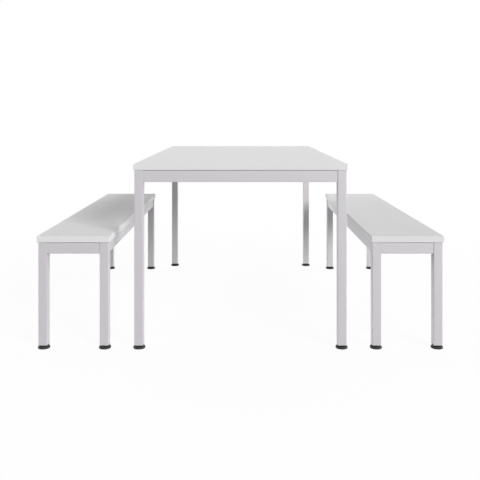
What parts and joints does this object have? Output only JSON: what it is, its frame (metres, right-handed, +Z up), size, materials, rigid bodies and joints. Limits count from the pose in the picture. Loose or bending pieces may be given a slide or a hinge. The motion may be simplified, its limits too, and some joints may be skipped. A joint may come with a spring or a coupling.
{
  "type": "canteen table with benches",
  "caption": "Rectangular canteen table with matching free-standing benches: white boards on pale steel frames with rectangular legs and round levelling feet.",
  "frame": {"origin": "on the floor, under the middle of the table, which is also the middle of the whole set", "axes": "+X across the table to the right-hand bench, +Y along the table to its back end, +Z up"},
  "size_m": [1.627, 1.511, 0.74],
  "materials": {
    "white_melamine": "matt white melamine facing on particle board",
    "white_edging": "matt white ABS edging",
    "frame_paint": "fine powder coat, pale silver with a lavender cast",
    "black_nylon": "black moulded nylon, satin",
    "zinc_steel": "bright zinc plating"
  },
  "bodies": {
    "table": {"table_board": "white_melamine", "table_edging": "white_edging", "table_board_fixings": "zinc_steel", "table_leg_inserts": "black_nylon", "table_side_rail_left": "frame_paint", "table_side_rail_right": "frame_paint", "table_end_rail_front": "frame_paint", "table_end_rail_back": "frame_paint", "table_leg_front_left": "frame_paint", "table_leg_front_right": "frame_paint", "table_leg_back_left": "frame_paint", "table_leg_back_right": "frame_paint"},
    "bench_left": {"bench_left_board": "white_melamine", "bench_left_edging": "white_edging", "bench_left_board_fixings": "zinc_steel", "bench_left_leg_inserts": "black_nylon", "bench_left_side_rail_left": "frame_paint", "bench_left_side_rail_right": "frame_paint", "bench_left_end_rail_front": "frame_paint", "bench_left_end_rail_back": "frame_paint", "bench_left_leg_front_left": "frame_paint", "bench_left_leg_front_right": "frame_paint", "bench_left_leg_back_left": "frame_paint", "bench_left_leg_back_right": "frame_paint"},
    "bench_right": {"bench_right_board": "white_melamine", "bench_right_edging": "white_edging", "bench_right_board_fixings": "zinc_steel", "bench_right_leg_inserts": "black_nylon", "bench_right_side_rail_left": "frame_paint", "bench_right_side_rail_right": "frame_paint", "bench_right_end_rail_front": "frame_paint", "bench_right_end_rail_back": "frame_paint", "bench_right_leg_front_left": "frame_paint", "bench_right_leg_front_right": "frame_paint", "bench_right_leg_back_left": "frame_paint", "bench_right_leg_back_right": "frame_paint"},
    "table_foot_stud_front_left": {"table_foot_stud_front_left": "zinc_steel"},
    "table_foot_base_front_left": {"table_foot_base_front_left": "black_nylon"},
    "table_foot_stud_front_right": {"table_foot_stud_front_right": "zinc_steel"},
    "table_foot_base_front_right": {"table_foot_base_front_right": "black_nylon"},
    "table_foot_stud_back_left": {"table_foot_stud_back_left": "zinc_steel"},
    "table_foot_base_back_left": {"table_foot_base_back_left": "black_nylon"},
    "table_foot_stud_back_right": {"table_foot_stud_back_right": "zinc_steel"},
    "table_foot_base_back_right": {"table_foot_base_back_right": "black_nylon"},
    "bench_left_foot_stud_front_left": {"bench_left_foot_stud_front_left": "zinc_steel"},
    "bench_left_foot_base_front_left": {"bench_left_foot_base_front_left": "black_nylon"},
    "bench_left_foot_stud_front_right": {"bench_left_foot_stud_front_right": "zinc_steel"},
    "bench_left_foot_base_front_right": {"bench_left_foot_base_front_right": "black_nylon"},
    "bench_left_foot_stud_back_left": {"bench_left_foot_stud_back_left": "zinc_steel"},
    "bench_left_foot_base_back_left": {"bench_left_foot_base_back_left": "black_nylon"},
    "bench_left_foot_stud_back_right": {"bench_left_foot_stud_back_right": "zinc_steel"},
    "bench_left_foot_base_back_right": {"bench_left_foot_base_back_right": "black_nylon"},
    "bench_right_foot_stud_front_left": {"bench_right_foot_stud_front_left": "zinc_steel"},
    "bench_right_foot_base_front_left": {"bench_right_foot_base_front_left": "black_nylon"},
    "bench_right_foot_stud_front_right": {"bench_right_foot_stud_front_right": "zinc_steel"},
    "bench_right_foot_base_front_right": {"bench_right_foot_base_front_right": "black_nylon"},
    "bench_right_foot_stud_back_left": {"bench_right_foot_stud_back_left": "zinc_steel"},
    "bench_right_foot_base_back_left": {"bench_right_foot_base_back_left": "black_nylon"},
    "bench_right_foot_stud_back_right": {"bench_right_foot_stud_back_right": "zinc_steel"},
    "bench_right_foot_base_back_right": {"bench_right_foot_base_back_right": "black_nylon"}
  },
  "joints": [
    {"name": "bench_left_slide", "type": "slide", "parent": "table", "child": "bench_left", "axis": [-1, 0, 0], "range_m": [-0.084, 0.3]},
    {"name": "bench_right_slide", "type": "slide", "parent": "table", "child": "bench_right", "axis": [1, 0, 0], "range_m": [-0.084, 0.3]},
    {"name": "table_foot_travel_front_left", "type": "slide", "parent": "table", "child": "table_foot_stud_front_left", "axis": [0, 0, -1], "range_m": [0, 0.012]},
    {"name": "table_foot_turn_front_left", "type": "hinge", "parent": "table_foot_stud_front_left", "child": "table_foot_base_front_left", "pos_m": [-0.4065, -0.731, 0], "axis": [0, 0, -1], "range_deg": [0, 2880]},
    {"name": "table_foot_travel_front_right", "type": "slide", "parent": "table", "child": "table_foot_stud_front_right", "axis": [0, 0, -1], "range_m": [0, 0.012]},
    {"name": "table_foot_turn_front_right", "type": "hinge", "parent": "table_foot_stud_front_right", "child": "table_foot_base_front_right", "pos_m": [0.4065, -0.731, 0], "axis": [0, 0, -1], "range_deg": [0, 2880]},
    {"name": "table_foot_travel_back_left", "type": "slide", "parent": "table", "child": "table_foot_stud_back_left", "axis": [0, 0, -1], "range_m": [0, 0.012]},
    {"name": "table_foot_turn_back_left", "type": "hinge", "parent": "table_foot_stud_back_left", "child": "table_foot_base_back_left", "pos_m": [-0.4065, 0.731, 0], "axis": [0, 0, -1], "range_deg": [0, 2880]},
    {"name": "table_foot_travel_back_right", "type": "slide", "parent": "table", "child": "table_foot_stud_back_right", "axis": [0, 0, -1], "range_m": [0, 0.012]},
    {"name": "table_foot_turn_back_right", "type": "hinge", "parent": "table_foot_stud_back_right", "child": "table_foot_base_back_right", "pos_m": [0.4065, 0.731, 0], "axis": [0, 0, -1], "range_deg": [0, 2880]},
    {"name": "bench_left_foot_travel_front_left", "type": "slide", "parent": "bench_left", "child": "bench_left_foot_stud_front_left", "axis": [0, 0, -1], "range_m": [0, 0.012]},
    {"name": "bench_left_foot_turn_front_left", "type": "hinge", "parent": "bench_left_foot_stud_front_left", "child": "bench_left_foot_base_front_left", "pos_m": [-0.7895, -0.731, 0], "axis": [0, 0, -1], "range_deg": [0, 2880]},
    {"name": "bench_left_foot_travel_front_right", "type": "slide", "parent": "bench_left", "child": "bench_left_foot_stud_front_right", "axis": [0, 0, -1], "range_m": [0, 0.012]},
    {"name": "bench_left_foot_turn_front_right", "type": "hinge", "parent": "bench_left_foot_stud_front_right", "child": "bench_left_foot_base_front_right", "pos_m": [-0.5445, -0.731, 0], "axis": [0, 0, -1], "range_deg": [0, 2880]},
    {"name": "bench_left_foot_travel_back_left", "type": "slide", "parent": "bench_left", "child": "bench_left_foot_stud_back_left", "axis": [0, 0, -1], "range_m": [0, 0.012]},
    {"name": "bench_left_foot_turn_back_left", "type": "hinge", "parent": "bench_left_foot_stud_back_left", "child": "bench_left_foot_base_back_left", "pos_m": [-0.7895, 0.649, 0], "axis": [0, 0, -1], "range_deg": [0, 2880]},
    {"name": "bench_left_foot_travel_back_right", "type": "slide", "parent": "bench_left", "child": "bench_left_foot_stud_back_right", "axis": [0, 0, -1], "range_m": [0, 0.012]},
    {"name": "bench_left_foot_turn_back_right", "type": "hinge", "parent": "bench_left_foot_stud_back_right", "child": "bench_left_foot_base_back_right", "pos_m": [-0.5445, 0.649, 0], "axis": [0, 0, -1], "range_deg": [0, 2880]},
    {"name": "bench_right_foot_travel_front_left", "type": "slide", "parent": "bench_right", "child": "bench_right_foot_stud_front_left", "axis": [0, 0, -1], "range_m": [0, 0.012]},
    {"name": "bench_right_foot_turn_front_left", "type": "hinge", "parent": "bench_right_foot_stud_front_left", "child": "bench_right_foot_base_front_left", "pos_m": [0.5445, -0.731, 0], "axis": [0, 0, -1], "range_deg": [0, 2880]},
    {"name": "bench_right_foot_travel_front_right", "type": "slide", "parent": "bench_right", "child": "bench_right_foot_stud_front_right", "axis": [0, 0, -1], "range_m": [0, 0.012]},
    {"name": "bench_right_foot_turn_front_right", "type": "hinge", "parent": "bench_right_foot_stud_front_right", "child": "bench_right_foot_base_front_right", "pos_m": [0.7895, -0.731, 0], "axis": [0, 0, -1], "range_deg": [0, 2880]},
    {"name": "bench_right_foot_travel_back_left", "type": "slide", "parent": "bench_right", "child": "bench_right_foot_stud_back_left", "axis": [0, 0, -1], "range_m": [0, 0.012]},
    {"name": "bench_right_foot_turn_back_left", "type": "hinge", "parent": "bench_right_foot_stud_back_left", "child": "bench_right_foot_base_back_left", "pos_m": [0.5445, 0.649, 0], "axis": [0, 0, -1], "range_deg": [0, 2880]},
    {"name": "bench_right_foot_travel_back_right", "type": "slide", "parent": "bench_right", "child": "bench_right_foot_stud_back_right", "axis": [0, 0, -1], "range_m": [0, 0.012]},
    {"name": "bench_right_foot_turn_back_right", "type": "hinge", "parent": "bench_right_foot_stud_back_right", "child": "bench_right_foot_base_back_right", "pos_m": [0.7895, 0.649, 0], "axis": [0, 0, -1], "range_deg": [0, 2880]}
  ],
  "couplings": [
    {"joint": "table_foot_travel_front_left", "follows": "table_foot_turn_front_left", "m_per_rad": 0.00023873},
    {"joint": "table_foot_travel_front_right", "follows": "table_foot_turn_front_right", "m_per_rad": 0.00023873},
    {"joint": "table_foot_travel_back_left", "follows": "table_foot_turn_back_left", "m_per_rad": 0.00023873},
    {"joint": "table_foot_travel_back_right", "follows": "table_foot_turn_back_right", "m_per_rad": 0.00023873},
    {"joint": "bench_left_foot_travel_front_left", "follows": "bench_left_foot_turn_front_left", "m_per_rad": 0.00023873},
    {"joint": "bench_left_foot_travel_front_right", "follows": "bench_left_foot_turn_front_right", "m_per_rad": 0.00023873},
    {"joint": "bench_left_foot_travel_back_left", "follows": "bench_left_foot_turn_back_left", "m_per_rad": 0.00023873},
    {"joint": "bench_left_foot_travel_back_right", "follows": "bench_left_foot_turn_back_right", "m_per_rad": 0.00023873},
    {"joint": "bench_right_foot_travel_front_left", "follows": "bench_right_foot_turn_front_left", "m_per_rad": 0.00023873},
    {"joint": "bench_right_foot_travel_front_right", "follows": "bench_right_foot_turn_front_right", "m_per_rad": 0.00023873},
    {"joint": "bench_right_foot_travel_back_left", "follows": "bench_right_foot_turn_back_left", "m_per_rad": 0.00023873},
    {"joint": "bench_right_foot_travel_back_right", "follows": "bench_right_foot_turn_back_right", "m_per_rad": 0.00023873}
  ]
}
